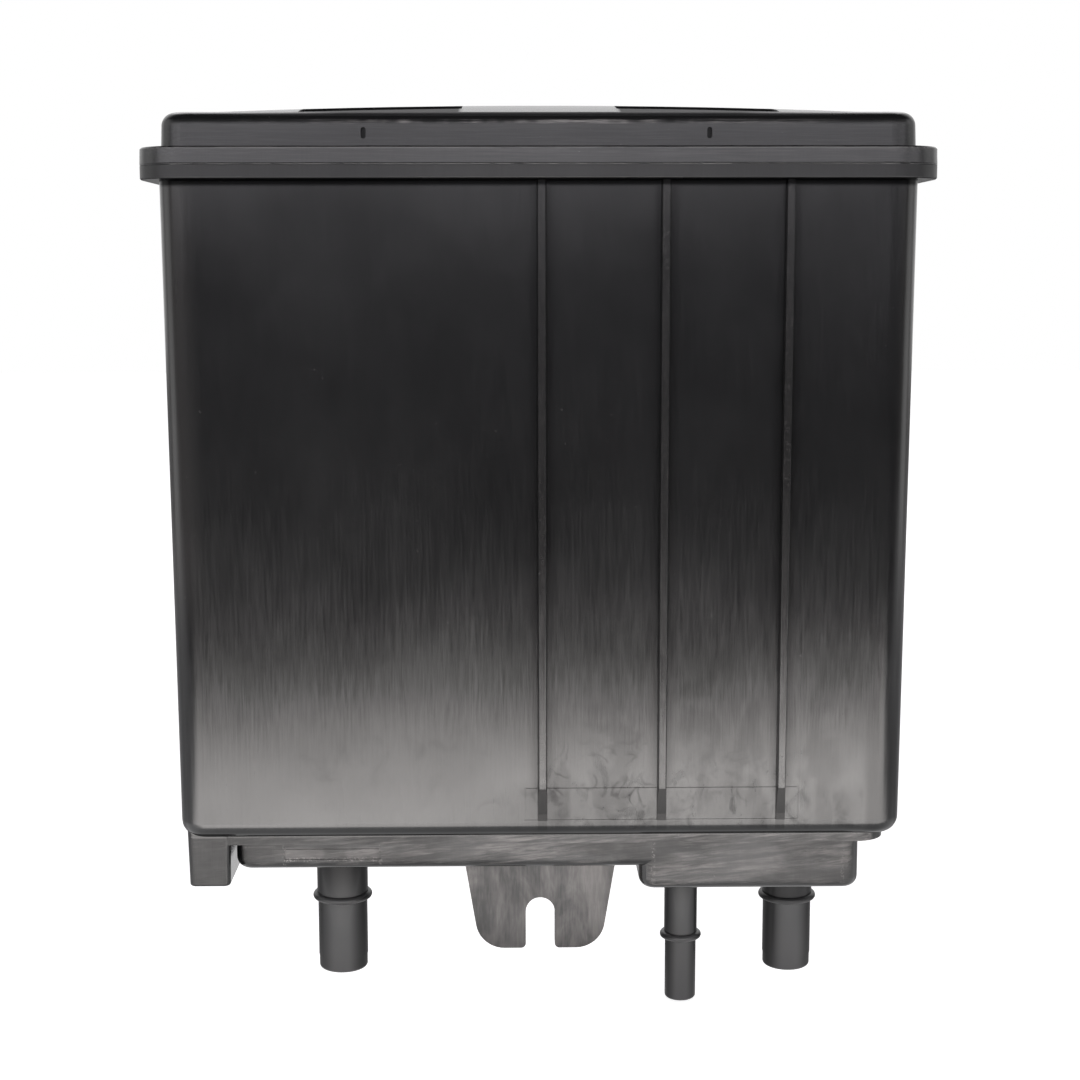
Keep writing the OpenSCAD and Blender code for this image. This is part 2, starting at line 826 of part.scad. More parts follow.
// A coil spring with flat end turns, swept as a wire of few sides
module spring(at) {
    wire_r = wire_d / 2;
    wire_flat = wire_r * cos(180 / wire_sides);
    mean_r = spring_od / 2 - wire_r;
    turns = spring_turns + 2 * flat_turn;
    steps = ceil(turns * turn_steps);
    rise = spring_h - 2 * wire_flat;
    points = [
        for (i = [0 : steps], k = [0 : wire_sides - 1])
            let (
                turn = turns * i / steps,
                side = 360 * k / wire_sides,
                open = min(max(turn - flat_turn, 0), spring_turns),
                r = mean_r + wire_r * cos(side)
            )
            [
                r * cos(360 * turn),
                r * sin(360 * turn),
                wire_flat + rise * open / spring_turns + wire_r * sin(side)
            ]
    ];
    sides = [
        for (i = [0 : steps - 1], k = [0 : wire_sides - 1])
            let (next = (k + 1) % wire_sides, low = i * wire_sides, high = low + wire_sides)
            [low + k, low + next, high + next, high + k]
    ];
    first = [for (k = [0 : wire_sides - 1]) wire_sides - 1 - k];
    last = [for (k = [0 : wire_sides - 1]) steps * wire_sides + k];
    color([0.62, 0.63, 0.65])
        translate([at[0], at[1], plate_top])
            polyhedron(points, concat(sides, [first, last]));
}

module vent_spring_1() {
    spring(vent_springs[0]);
}

module vent_spring_2() {
    spring(vent_springs[1]);
}

module vent_spring_3() {
    spring(vent_springs[2]);
}

module vent_spring_4() {
    spring(vent_springs[3]);
}

module purge_spring_1() {
    spring(purge_springs[0]);
}

module purge_spring_2() {
    spring(purge_springs[1]);
}

housing();
end_cover();
vent_support_grid();
purge_support_grid();
vent_port_filter();
purge_port_filter();
vent_carbon_bed();
purge_carbon_bed();
vent_cover_filter();
purge_cover_filter();
vent_pressure_plate();
purge_pressure_plate();
vent_spring_1();
vent_spring_2();
vent_spring_3();
vent_spring_4();
purge_spring_1();
purge_spring_2();
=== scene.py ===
"""Looks, light and camera for the charcoal canister. Metres, +Z up, front towards -Y."""

import json
import math

import bmesh
import bpy
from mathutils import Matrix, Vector, noise


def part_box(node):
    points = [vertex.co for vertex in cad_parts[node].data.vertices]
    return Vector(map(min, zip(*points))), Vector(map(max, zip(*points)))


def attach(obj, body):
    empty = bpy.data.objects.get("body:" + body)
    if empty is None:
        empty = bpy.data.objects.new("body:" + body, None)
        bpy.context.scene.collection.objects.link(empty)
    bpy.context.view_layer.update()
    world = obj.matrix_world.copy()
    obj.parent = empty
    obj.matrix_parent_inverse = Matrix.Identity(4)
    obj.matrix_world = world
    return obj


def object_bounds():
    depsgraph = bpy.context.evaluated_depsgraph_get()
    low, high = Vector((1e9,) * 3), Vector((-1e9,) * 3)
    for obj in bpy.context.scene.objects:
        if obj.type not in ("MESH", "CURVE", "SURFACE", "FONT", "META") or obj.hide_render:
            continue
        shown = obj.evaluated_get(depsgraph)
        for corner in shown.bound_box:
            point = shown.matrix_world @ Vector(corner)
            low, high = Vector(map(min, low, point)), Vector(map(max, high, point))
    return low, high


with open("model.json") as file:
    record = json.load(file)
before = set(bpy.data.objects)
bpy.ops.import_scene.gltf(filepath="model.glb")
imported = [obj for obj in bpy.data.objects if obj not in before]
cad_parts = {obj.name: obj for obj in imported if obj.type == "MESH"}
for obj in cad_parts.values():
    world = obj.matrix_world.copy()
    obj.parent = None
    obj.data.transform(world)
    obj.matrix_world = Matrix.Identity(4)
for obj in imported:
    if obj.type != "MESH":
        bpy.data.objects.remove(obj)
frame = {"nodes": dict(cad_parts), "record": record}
cad_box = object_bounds()
cad = frame["nodes"]
scene = bpy.context.scene

# Heights on the object
low_corner, high_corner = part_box("housing")
WELD_Z = high_corner[2]
FLANGE_Z = WELD_Z - 0.0041  # underside of the weld flange
SKIRT_Z = WELD_Z + 0.0049  # foot of the cover's skirt
RIM_Z = SKIRT_Z + 0.0100  # top of the skirt
BODY_FLOOR_Z = WELD_Z - 0.1981  # bottom of the box
PANEL_UP = 0.0160  # top of the flats that the ribs run out to, above the bottom of the box
SHALLOW_Z = BODY_FLOOR_Z - 0.0111  # bottom of the shallow pan
PAN_Z = BODY_FLOOR_Z - 0.0182  # bottom of the deep pan
FLOOR_Z = cad_box[0][2] - 0.0006  # the table

# Places across the object and along it
MID_Y = (low_corner[1] + high_corner[1]) / 2
SKIRT_Y = MID_Y - 0.0492  # front of the skirt
FRONT_Y = MID_Y - 0.0487  # front of the box, at its bottom
WALL_LEAN = 0.0067  # the front wall's run outwards for each metre of height
TAB_Y = -0.005  # between the fronts of the pans and the tab
PORTS_Y = 0.012  # between the tab and the ports
POST_X = -0.0920  # inner side of the corner post
RIBS_X = (0.0004, 0.0359, 0.0714)
PLATE_X = (-0.0772, -0.0486)  # ends of the flat plate on the shallow pan's front
PLATE_UP = (-0.0078, -0.0041)  # its lower and upper edges, from the bottom of the box
DIMPLES_X = (-0.0501, 0.0482)
POCKETS_X = (0.0225, 0.0700)  # inner and outer ends of the cover's pockets, from its middle
FLANGE_HALF = (high_corner[0], high_corner[1] - MID_Y)
FLANGE_R = 0.01475

# Size of the weld flash
FLASH_R = 0.00024
FLASH_R_LEAST = 0.0001
FLASH_LUMPS = 0.00018
FLASH_SWAY = 0.00006
FLASH_IN = 0.00030
FLASH_TALL = 1.15
FLASH_STEP = 0.0012
FLASH_SIDES = 8

# Light: colours of the lamps, and how dark the studio is in front of the object
WARM = (1.0, 0.96, 0.935)
BLUISH = (0.965, 0.945, 1.0)
COOL = (0.975, 0.960, 1.0)
PINKISH = (1.0, 0.97, 1.0)
WHITE = (1.0, 1.0, 1.0)
TABLE_LAMP_Z = FLOOR_Z + 0.001
STUDIO_DARK = 0.97
ROOM_LIGHT = 0.6

# Camera, as fitted to the photo
PHOTO_PIXELS = 1080.0
FOCAL_PIXELS = 1910.0
SENSOR_MM = 36.0
CAMERA_X = 0.0003
CAMERA_AWAY = 0.575
CAMERA_UP = 0.1679
CAMERA_SWING = math.radians(0.97)
CAMERA_TILT = math.radians(82.0)
CAMERA_ROLL = math.radians(0.10)


class Nodes:
    """Short names for building the nodes of one material or world."""

    def __init__(self, owner):
        owner.use_nodes = True
        self.owner = owner
        self.tree = owner.node_tree
        self.tree.nodes.clear()

    def add(self, kind, **settings):
        node = self.tree.nodes.new(kind)
        for key, value in settings.items():
            setattr(node, key, value)
        return node

    def put(self, socket, value):
        """Link a socket to another, or set it to a constant."""
        if isinstance(value, bpy.types.NodeSocket):
            self.tree.links.new(value, socket)
        else:
            socket.default_value = value

    def math(self, operation, a, b=0.0, clamp=False):
        node = self.add("ShaderNodeMath", operation=operation, use_clamp=clamp)
        self.put(node.inputs[0], a)
        self.put(node.inputs[1], b)
        return node.outputs[0]

    def chain(self, operation, values):
        total = values[0]
        for value in values[1:]:
            total = self.math(operation, total, value)
        return total

    def sum(self, *values):
        return self.chain("ADD", values)

    def product(self, *values):
        return self.chain("MULTIPLY", values)

    def most(self, *values):
        """The largest of some values."""
        return self.chain("MAXIMUM", values)

    def less(self, a, b):
        return self.math("SUBTRACT", a, b)

    def scaled(self, value, factor, base):
        """A value times a factor, on top of a base."""
        return self.sum(base, self.product(value, factor))

    def size(self, value):
        """A value without its sign."""
        return self.math("ABSOLUTE", value)

    def fade(self, value, low, high, start=0.0, end=1.0):
        """A smooth step from start at low to end at high."""
        node = self.add("ShaderNodeMapRange", interpolation_type="SMOOTHSTEP")
        self.put(node.inputs["Value"], value)
        for name, number in (("From Min", low), ("From Max", high), ("To Min", start), ("To Max", end)):
            node.inputs[name].default_value = number
        return node.outputs["Result"]

    def above(self, value, edge, soft):
        """1 above an edge, fading across it."""
        return self.fade(value, edge - soft, edge + soft)

    def below(self, value, edge, soft):
        """1 below an edge, fading across it."""
        return self.fade(value, edge + soft, edge - soft)

    def window(self, value, low, high, soft):
        """1 between two edges, fading across them."""
        return self.product(self.above(value, low, soft), self.below(value, high, soft))

    def strip(self, value, middle, half):
        """1 in a narrow band about a middle, fading at its edges."""
        return self.fade(self.size(self.less(value, middle)), half, 0.4 * half)

    def stretch(self, vector, factors):
        node = self.add("ShaderNodeVectorMath", operation="MULTIPLY")
        self.put(node.inputs[0], vector)
        node.inputs[1].default_value = factors
        return node.outputs["Vector"]

    def turn(self, vector, degrees):
        """A vector turned about the Y axis."""
        node = self.add("ShaderNodeVectorRotate", rotation_type="Y_AXIS")
        self.put(node.inputs["Vector"], vector)
        node.inputs["Angle"].default_value = math.radians(degrees)
        return node.outputs["Vector"]

    def split(self, vector):
        """The X, Y and Z of a vector, by name."""
        node = self.add("ShaderNodeSeparateXYZ")
        self.put(node.inputs[0], vector)
        return {axis: node.outputs[axis] for axis in "XYZ"}

    def coordinates(self, kind):
        return self.add("ShaderNodeTexCoord").outputs[kind]

    def noise(self, vector, scale, detail=2.0, roughness=0.5, distortion=0.0):
        node = self.add("ShaderNodeTexNoise")
        self.put(node.inputs["Vector"], vector)
        node.inputs["Scale"].default_value = scale
        node.inputs["Detail"].default_value = detail
        node.inputs["Roughness"].default_value = roughness
        node.inputs["Distortion"].default_value = distortion
        return node.outputs["Fac"]

    def cells(self, vector, scale):
        node = self.add("ShaderNodeTexVoronoi", feature="F1")
        self.put(node.inputs["Vector"], vector)
        node.inputs["Scale"].default_value = scale
        return node.outputs["Distance"]

    def mix(self, fac, a, b):
        """Two colours, or colour sockets, mixed by a factor."""
        node = self.add("ShaderNodeMix", data_type="RGBA")
        self.put(node.inputs[0], fac)
        sockets = [s for s in node.inputs if s.type == "RGBA"]
        for socket, value in zip(sockets, (a, b)):
            self.put(socket, value if isinstance(value, bpy.types.NodeSocket) else (*value, 1.0))
        return next(s for s in node.outputs if s.type == "RGBA")


def start(name):
    """The nodes of a new material, with the place on the piece as a vector."""
    g = Nodes(bpy.data.materials.new(name))
    return g, g.coordinates("Object")


def finish_surface(g, colour, roughness, height, specular=0.5, metallic=0.0, depth=0.0002, strength=0.3):
    """The shader and the bump of a material."""
    shader = g.add("ShaderNodeBsdfPrincipled")
    g.put(shader.inputs["Base Color"], colour)
    g.put(shader.inputs["Roughness"], roughness)
    g.put(shader.inputs["Specular IOR Level"], specular)
    shader.inputs["Metallic"].default_value = metallic
    bump = g.add("ShaderNodeBump")
    bump.inputs["Strength"].default_value = strength
    bump.inputs["Distance"].default_value = depth
    g.put(bump.inputs["Height"], height)
    g.put(shader.inputs["Normal"], bump.outputs["Normal"])
    g.put(g.add("ShaderNodeOutputMaterial").inputs["Surface"], shader.outputs["BSDF"])
    return g.owner


def moulded_plastic(name, details, black, grey, soft_grey, soft_loss, rough, specular=0.75):
    """Satin black moulding: draw marks up the walls, fine grain, specks, rubbed fronts, painted highlights,
    and painted shade in corners and recesses.

    details gives how far each place is rubbed, worn, made paler by chalky marks and painted highlights,
    smudged, darkened by dirt and painted shade, and soft.
    """
    g, place = start(name)
    at = g.split(place)
    normal = g.split(g.add("ShaderNodeNewGeometry").outputs["Normal"])
    front = g.fade(normal["Y"], -0.75, -0.97)
    upright = g.fade(g.size(normal["Z"]), 0.6, 0.2)
    rubbed, wear, chalk_and_highlight, smudge, shade, soft = details(g, place, at, normal, front, upright)

    plain = g.less(1.0, soft)
    cloud = g.noise(place, 22.0, 4.0, 0.55)
    uneven = g.less(cloud, 0.5)
    grain = g.noise(place, 2600.0, 2.0, 0.5)
    fine = g.noise(g.stretch(place, (1.0, 1.0, 0.035)), 2400.0, 3.0, 0.65)
    broad = g.noise(g.stretch(place, (1.0, 1.0, 0.06)), 170.0, 4.0, 0.6)
    drawn = g.sum(g.product(fine, 0.8), g.product(broad, 0.2))
    drawn = g.less(g.product(drawn, upright), 0.5)
    drawn = g.product(drawn, plain, g.fade(at["Z"], 0.17, 0.035, 0.35, 1.0))
    speck = g.product(g.fade(g.noise(place, 900.0, 2.0, 0.6), 0.735, 0.79), g.fade(cloud, 0.45, 0.62))
    # Specks and wear, with the painted highlights added to them.
    dust_and_highlight = g.math("ADD", g.product(speck, plain, 0.35), wear, True)
    dust_and_highlight = g.math("ADD", dust_and_highlight, chalk_and_highlight, True)

    tone = g.mix(cloud, black, tuple(1.35 * c for c in black))
    tone = g.mix(soft, tone, soft_grey)
    tone = g.mix(dust_and_highlight, tone, grey)
    # Mixing towards a darker black puts in dark dirt and painted shade.
    tone = g.mix(shade, tone, tuple(0.3 * c for c in black))
    roughness = rough
    for value, share in ((drawn, 0.28), (uneven, 0.06), (rubbed, 0.25), (smudge, 0.07), (soft, 0.08),
                         (dust_and_highlight, 0.15)):
        roughness = g.math("ADD", roughness, g.product(value, share), True)
    worn = g.sum(g.product(drawn, 0.7), g.product(uneven, 0.7))
    gloss = g.product(specular, g.less(1.0, shade), g.less(1.0, g.product(soft, soft_loss)), g.sum(1.0, worn))
    height = g.sum(g.product(drawn, 0.8), g.product(grain, 0.2))
    return finish_surface(g, tone, roughness, height, gloss, strength=0.08, depth=0.0001)


def near_ribs(g, at, far, near):
    """1 close to the middle of a rib, fading to 0 away from it."""
    return g.most(*(g.fade(g.size(g.less(at["X"], x)), far, near) for x in RIBS_X))


def underside_marks(g, place, at, up, front, patchy):
    """The rubbed fronts under the box, with their pale smears and their dark patches, the tab darker towards
    its tip and painted shade on the corner post.
    """
    under = g.product(g.fade(up, 0.0002, -0.0004), g.fade(at["Y"], 0.008, 0.006), front)
    tab = g.above(at["Y"], TAB_Y, 0.001)
    post = g.below(at["X"], POST_X, 0.0005)

    level = g.noise(g.stretch(g.turn(place, 5.0), (0.07, 1.0, 1.0)), 760.0, 5.0, 0.75, 0.4)
    patches = g.noise(g.stretch(place, (0.5, 1.0, 1.0)), 75.0, 4.0, 0.6, 0.5)
    across = g.product(g.fade(level, 0.40, 0.72), g.fade(patches, 0.36, 0.64, 0.25, 1.25))
    streaks = g.noise(g.stretch(place, (1.0, 1.0, 0.12)), 1300.0, 3.0, 0.6, 0.3)
    blotches = g.noise(g.stretch(place, (1.0, 1.0, 0.5)), 85.0, 4.0, 0.6, 0.6)
    down = g.sum(g.fade(streaks, 0.35, 0.75, 0.0, 0.45), g.fade(blotches, 0.36, 0.66))
    smear = g.sum(g.product(across, g.less(1.0, tab)), g.product(down, tab, 0.9))
    plate = g.product(g.window(at["X"], *PLATE_X, 0.0003), g.window(up, *PLATE_UP, 0.0003), under)
    wear = g.sum(g.product(smear, under, g.less(0.85, g.product(post, 0.60))),
                 g.product(plate, g.sum(0.4, patchy), 0.30))

    dark = g.noise(g.stretch(place, (0.4, 1.0, 1.0)), 70.0, 4.0, 0.65, 0.4)
    dark = g.product(g.fade(dark, 0.58, 0.40), under, g.less(0.32, g.product(tab, 0.20)))
    # The tab darker towards its tip.
    tab_foot = g.product(tab, under, g.fade(at["Z"], 0.006, -0.016, 0.0, 0.34))
    # Painted shade on the front of the corner post.
    behind = g.product(g.below(up, 0.0, 0.0001), post, 0.25)
    return under, wear, g.most(dark, tab_foot, behind)


def mould_lines(g, at, up, front, patchy, broken):
    """Broken chalky lines across the pans and along the foot of the flat plate."""
    pan = g.window(at["Z"], PAN_Z + 0.0015, BODY_FLOOR_Z - 0.0035, 0.0010)
    lines = [g.strip(at["X"], x, half)
             for x, half in ((0.0340, 0.0009), (0.0915, 0.0007), (-0.0774, 0.0007), (-0.0484, 0.0007))]
    foot = g.product(g.strip(up, PLATE_UP[0], 0.0009), g.window(at["X"], -0.0772, -0.0482, 0.0005))
    return g.product(g.most(*lines, foot), broken, pan, front, g.scaled(patchy, 0.65, 0.35))


def wall_smears(g, place, at, up, front, patchy):
    """The smudged film low between the ribs, the wiped and tarnished places about it, painted shade low on the
    wall and a darker patch on its left.
    """
    between = g.product(g.fade(at["X"], -0.006, 0.004), g.fade(at["X"], 0.085, 0.072), front,
                        g.fade(up, 0.001, 0.006), g.fade(up, 0.034, 0.022))
    film = g.fade(g.noise(g.stretch(place, (1.0, 1.0, 0.7)), 120.0, 4.0, 0.65, 1.0), 0.50, 0.70)
    stroke = g.fade(g.size(g.less(g.noise(place, 80.0, 2.0, 0.5, 1.4), 0.5)), 0.06, 0.0)
    wiped = g.product(stroke, patchy, between, g.fade(at["X"], 0.031, 0.040, 0.26, 0.10))
    # Painted shade: darker towards the bottom of the wall, from the first rib rightwards.
    dull = g.product(g.fade(at["X"], -0.030, 0.0), g.fade(up, PANEL_UP + 0.003, PANEL_UP - 0.004), front,
                     g.fade(up, 0.0, 0.0004), g.scaled(film, 0.8, 0.45), 0.27)
    # A darker patch low on the left of the wall.
    darker_left_patch = g.product(g.window(at["X"], -0.078, -0.018, 0.014), g.window(up, 0.011, 0.034, 0.008), front,
                      g.scaled(film, 0.5, 0.6), 0.25)
    tarnish = g.noise(g.stretch(place, (1.0, 1.0, 0.5)), 75.0, 3.0, 0.55, 0.6)
    tarnish = g.product(g.fade(tarnish, 0.46, 0.60), front, g.window(at["X"], -0.002, 0.092, 0.006),
                        g.fade(up, 0.075, 0.040), g.fade(up, 0.001, 0.005), 0.17)
    return g.product(film, between), g.sum(wiped, dull, darker_left_patch, tarnish)


def rib_marks(g, at, up, front, broken):
    """The fronts of the ribs with a painted highlight, and painted shade on their feet, beside them and under
    them.
    """
    wall_y = g.less(FRONT_Y, g.product(up, WALL_LEAN))
    proud = g.less(wall_y, at["Y"])
    under_flange = g.fade(at["Z"], FLANGE_Z, FLANGE_Z - 0.0004)
    rib = g.product(g.fade(proud, 0.0004, 0.0008), under_flange, g.fade(up, 0.003, 0.004))
    # Painted shade on the feet of the ribs, beside them and under them.
    foot = g.product(rib, g.below(up, PANEL_UP, 0.0002), 0.7)
    rib = g.product(rib, g.above(up, PANEL_UP, 0.0002))
    beside = g.product(near_ribs(g, at, 0.0050, 0.0008), under_flange, g.less(1.0, rib),
                       g.fade(up, 0.004, PANEL_UP + 0.004, 0.10, 0.32), g.fade(up, 0.0, 0.0002),
                       g.fade(at["Y"], FRONT_Y + 0.010, FRONT_Y + 0.006))
    sill = g.product(near_ribs(g, at, 0.0017, 0.0012), g.window(up, 0.0010, 0.0062, 0.0004), front, 0.38)
    # A painted highlight on the rib fronts above the flats.
    return g.product(rib, g.sum(0.4, broken), 0.06), g.most(foot, beside, sill)


def corner_marks(g, at, up):
    """A painted sheen up the front corners of the box, and painted shade in its bend, under the flange and at
    its lower right corner.
    """
    # Painted sheen up the front corners.
    painted_corner_sheen = g.most(g.fade(at["X"], -0.097, -0.106), g.fade(at["X"], 0.102, 0.108))
    painted_corner_sheen = g.product(painted_corner_sheen, g.window(at["Z"], BODY_FLOOR_Z + 0.05, FLANGE_Z - 0.001, 0.001),
                     g.fade(at["Y"], FRONT_Y + 0.014, FRONT_Y + 0.004), g.fade(up, 0.05, 0.09), 0.10)
    # Painted shade under the flange, in the bend at the foot of the wall and at the lower right corner.
    flange = g.product(g.fade(at["Z"], FLANGE_Z - 0.0024, FLANGE_Z - 0.0012),
                       g.fade(at["Z"], FLANGE_Z + 0.0003, FLANGE_Z + 0.0001), 0.85)
    bend = g.product(g.window(up, 0.0, 0.0014, 0.0006), 0.3)
    corner = g.product(g.fade(at["X"], 0.0950, 0.0985), g.fade(up, 0.05, 0.01), g.fade(up, 0.0, 0.0004),
                       g.fade(at["Y"], FRONT_Y + 0.016, FRONT_Y + 0.008), 0.32)
    return painted_corner_sheen, g.most(flange, bend, corner)


def port_marks(g, at, normal):
    """Where the ports are, how much lighter their lower ends are, and painted shade on their flanks and necks.
    """
    ports = g.product(g.below(at["Z"], SHALLOW_Z, 0.0002), g.above(at["Y"], PORTS_Y, 0.002))
    # Lighter towards the lower ends of the ports.
    chalk_and_highlight = g.product(ports, g.fade(at["Z"], -0.012, -0.030, 0.0, 0.22))
    # Painted shade on the flanks of the ports and on their necks under the pans.
    flank = g.fade(g.size(normal["X"]), 0.25, 0.95, 0.0, 0.80)
    neck = g.fade(at["Z"], PAN_Z - 0.024, PAN_Z - 0.002, 0.0, 0.70)
    deep = g.product(g.fade(at["X"], 0.062, 0.066), g.fade(at["Z"], PAN_Z - 0.0238, PAN_Z - 0.0215, 0.0, 0.55))
    return ports, chalk_and_highlight, g.product(ports, g.most(flank, neck, deep))


def housing_details(g, place, at, normal, front, upright):
    """Rubbed fronts under the box, chalky mould lines, smears between the ribs, painted highlights on the ribs
    and up the front corners, and painted shade under the flange, about the ribs, in the bends, on the corner
    post and on the ports.
    """
    up = g.less(at["Z"], BODY_FLOOR_Z)
    patchy = g.fade(g.noise(place, 160.0, 2.0), 0.42, 0.58)
    broken = g.fade(g.noise(place, 1100.0, 3.0, 0.7), 0.50, 0.62)
    under, wear, dark = underside_marks(g, place, at, up, front, patchy)
    rubbed = g.most(under, g.product(g.above(at["Z"], FLANGE_Z, 0.0002), 0.8))
    # smears holds real smudges together with painted shade low on the wall.
    smudge, smears = wall_smears(g, place, at, up, front, patchy)
    rib_highlight, rib_shade = rib_marks(g, at, up, front, broken)
    painted_corner_sheen, corner_shade = corner_marks(g, at, up)
    ports, port_lower_lightening, port_shade = port_marks(g, at, normal)
    chalk_and_highlight = g.sum(mould_lines(g, at, up, front, patchy, broken), rib_highlight, painted_corner_sheen, port_lower_lightening)
    # shade gathers dark dirt and painted shade together.
    shade = g.most(dark, smears, rib_shade, corner_shade, port_shade)
    return rubbed, wear, chalk_and_highlight, smudge, shade, ports


def cover_details(g, place, at, normal, front, upright):
    """Level rub marks on the flange and the skirt, partly painted highlight, painted shade in the dimples and
    pockets, and a dull rim.
    """
    skirt = g.fade(at["Z"], SKIRT_Z, SKIRT_Z + 0.0004)
    rubbed = g.product(g.scaled(skirt, 0.1, 0.2), upright)
    level = g.noise(g.stretch(place, (0.03, 1.0, 1.0)), 2100.0, 4.0, 0.7)
    patchy = g.fade(g.noise(g.stretch(place, (1.0, 1.0, 0.3)), 70.0, 3.0, 0.6), 0.38, 0.62)
    wear = g.product(g.fade(level, 0.40, 0.72), rubbed, 0.22)

    off_x = g.size(at["X"])
    off_y = g.size(g.less(at["Y"], MID_Y))
    # Rub marks that are partly painted highlight: along the flange's top edge, down the flange and along the
    # skirt's bend.
    edge = g.product(g.strip(at["Z"], SKIRT_Z - 0.0003, 0.0006), g.fade(level, 0.38, 0.58), 0.15)
    flange = g.product(g.window(at["Z"], SKIRT_Z - 0.0022, SKIRT_Z, 0.0008), g.fade(level, 0.40, 0.66), 0.045)
    bend = g.product(g.strip(at["Z"], RIM_Z - 0.0029, 0.0008), patchy, g.fade(level, 0.36, 0.60),
                     g.fade(off_x, 0.09, 0.02, 0.12, 0.85))
    chalk_and_highlight = g.product(g.sum(edge, flange, bend), g.fade(at["Y"], MID_Y, MID_Y - 0.02))

    # Painted shade in the dimples and the pockets.
    dimple = g.product(g.most(*(g.strip(at["X"], x, 0.0012) for x in DIMPLES_X)),
                       g.window(at["Y"], SKIRT_Y + 0.0004, SKIRT_Y + 0.0020, 0.0002),
                       g.window(at["Z"], SKIRT_Z + 0.0020, SKIRT_Z + 0.0058, 0.0002), 0.65)
    pocket = g.product(g.window(off_x, POCKETS_X[0] - 0.0005, POCKETS_X[1] + 0.0005, 0.0003),
                       g.window(off_y, 0.0140, 0.0185, 0.0003), g.fade(g.size(normal["Y"]), 0.5, 0.8), 0.92)
    lip = g.product(g.window(off_x, *POCKETS_X, 0.0010), g.fade(at["Z"], RIM_Z - 0.0004, RIM_Z + 0.0002),
                    g.fade(off_y, 0.0325, 0.0340))
    rim = g.product(g.fade(off_x, 0.105, 0.055), g.window(at["Z"], RIM_Z - 0.0013, RIM_Z + 0.0004, 0.0003),
                    g.fade(off_y, 0.0435, 0.0455), 0.99)
    return rubbed, wear, chalk_and_highlight, 0.0, g.most(dimple, pocket), g.most(lip, rim)


def grid_plastic():
    g, place = start("grid_plastic")
    cloud = g.noise(place, 60.0, 3.0)
    grain = g.noise(place, 1800.0, 2.0)
    tone = g.mix(cloud, (0.03, 0.03, 0.032), (0.045, 0.045, 0.047))
    return finish_surface(g, tone, g.fade(grain, 0.2, 0.8, 0.5, 0.65), grain)


def filter_foam():
    g, place = start("filter_foam")
    holes = g.cells(place, 900.0)
    tone = g.mix(holes, (0.30, 0.28, 0.22), (0.58, 0.55, 0.47))
    roughness = g.fade(holes, 0.0, 1.0, 0.95, 0.8)
    return finish_surface(g, tone, roughness, holes, specular=0.2, depth=0.0008, strength=0.9)


def carbon():
    g, place = start("carbon_pellets")
    pellet = g.cells(place, 420.0)
    tone = g.mix(pellet, (0.03, 0.03, 0.031), (0.008, 0.008, 0.008))
    roughness = g.fade(pellet, 0.0, 0.8, 0.55, 0.9)
    return finish_surface(g, tone, roughness, g.less(1.0, pellet), specular=0.4, depth=0.0015, strength=1.0)


def spring_steel():
    g, place = start("spring_steel")
    drawn = g.noise(g.stretch(place, (1.0, 1.0, 6.0)), 900.0, 3.0)
    tone = g.mix(drawn, (0.38, 0.39, 0.40), (0.52, 0.53, 0.55))
    roughness = g.fade(drawn, 0.2, 0.8, 0.28, 0.45)
    return finish_surface(g, tone, roughness, drawn, metallic=1.0, depth=0.00005)


looks = {
    "housing_plastic": moulded_plastic(
        "housing_plastic", housing_details, black=(0.0034, 0.0035, 0.0039), grey=(0.20, 0.191, 0.186),
        soft_grey=(0.074, 0.074, 0.075), soft_loss=0.2, rough=0.22),
    "cover_plastic": moulded_plastic(
        "cover_plastic", cover_details, black=(0.0100, 0.0102, 0.0108), grey=(0.33, 0.318, 0.315),
        soft_grey=(0.045, 0.045, 0.046), soft_loss=0.988, rough=0.27),
    "grid_plastic": grid_plastic(),
    "filter_foam": filter_foam(),
    "carbon": carbon(),
    "spring_steel": spring_steel(),
}

slots = {row["node"]: row["material_slot"] for row in frame["record"]["subparts"]}
for name, thing in cad.items():
    thing.data.materials.clear()
    thing.data.materials.append(looks[slots[name]])


def direction(degrees):
    a = math.radians(degrees)
    return Vector((math.cos(a), math.sin(a), 0.0))


def rounded_outline(half_x, half_y, r, step):
    """Points round a rectangle with rounded corners, with their outward directions."""
    points = []
    corners = [(half_x - r, half_y - r, 0), (r - half_x, half_y - r, 90), (r - half_x, r - half_y, 180),
               (half_x - r, r - half_y, 270)]
    turns = max(6, round(r * math.pi / 2 / step))
    for k, (x, y, first) in enumerate(corners):
        for i in range(turns + 1):
            out = direction(first + 90 * i / turns)
            points.append((Vector((x, y, 0.0)) + out * r, out))
        next_x, next_y, _ = corners[(k + 1) % 4]
        out = direction(first + 90)
        begin = Vector((x, y, 0.0)) + out * r
        end = Vector((next_x, next_y, 0.0)) + out * r
        count = max(2, round((end - begin).length / step))
        for i in range(1, count):
            points.append((begin.lerp(end, i / count), out))
    return points


